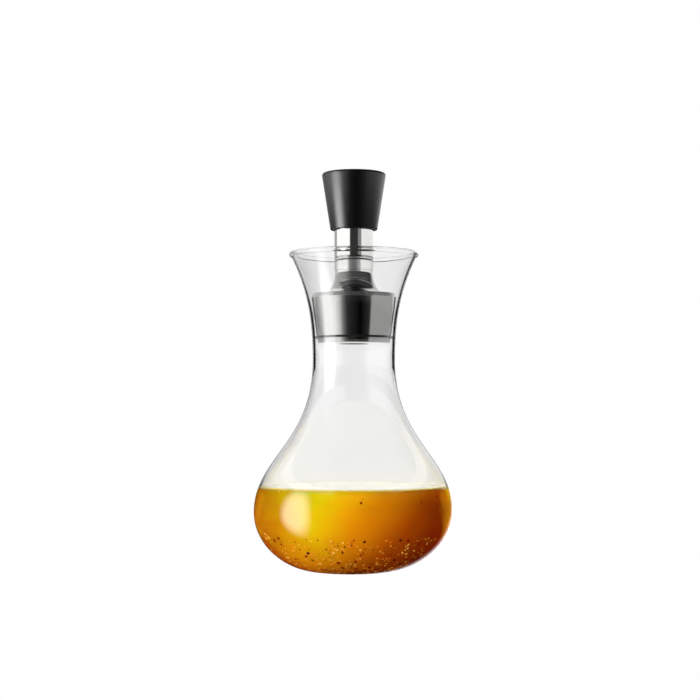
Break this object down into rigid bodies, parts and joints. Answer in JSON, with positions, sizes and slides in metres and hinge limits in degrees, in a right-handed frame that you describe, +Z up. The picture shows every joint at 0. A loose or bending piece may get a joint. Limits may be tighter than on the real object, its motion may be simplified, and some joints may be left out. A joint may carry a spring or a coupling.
{
  "type": "salad dressing shaker bottle",
  "caption": "Flared glass carafe with a tapered steel pourer seated in its neck and a conical stopper that closes the pourer's spout, part filled with dressing.",
  "frame": {"origin": "centre of the carafe's foot, on the table", "axes": "+Z up along the axis of the carafe, pourer and stopper; the bottle is round, so +X and +Y are alike"},
  "size_m": [0.1002, 0.1002, 0.1996],
  "materials": {
    "clear_glass": "clear blown glass, fire-polished",
    "dressing": "cloudy golden oil and vinegar dressing, a liquid",
    "polished_steel": "polished stainless steel",
    "core_plastic": "moulded, pale",
    "seal_silicone": "smooth black silicone",
    "knob_black": "satin black, soft touch"
  },
  "bodies": {
    "bottle": {"glass_carafe": "clear_glass", "dressing": "dressing"},
    "pourer": {"collar": "polished_steel", "funnel": "polished_steel", "collar_core": "core_plastic", "neck_seal": "seal_silicone", "base_dish": "polished_steel", "spout_tube": "polished_steel"},
    "stopper": {"stopper_knob": "knob_black", "stopper_core": "core_plastic", "stopper_seal": "seal_silicone"}
  },
  "joints": [
    {"name": "pourer_lift", "type": "slide", "parent": "bottle", "child": "pourer", "axis": [0, 0, 1], "range_m": [0, 0.06]},
    {"name": "stopper_lift", "type": "slide", "parent": "pourer", "child": "stopper", "axis": [0, 0, 1], "range_m": [0, 0.032]}
  ]
}
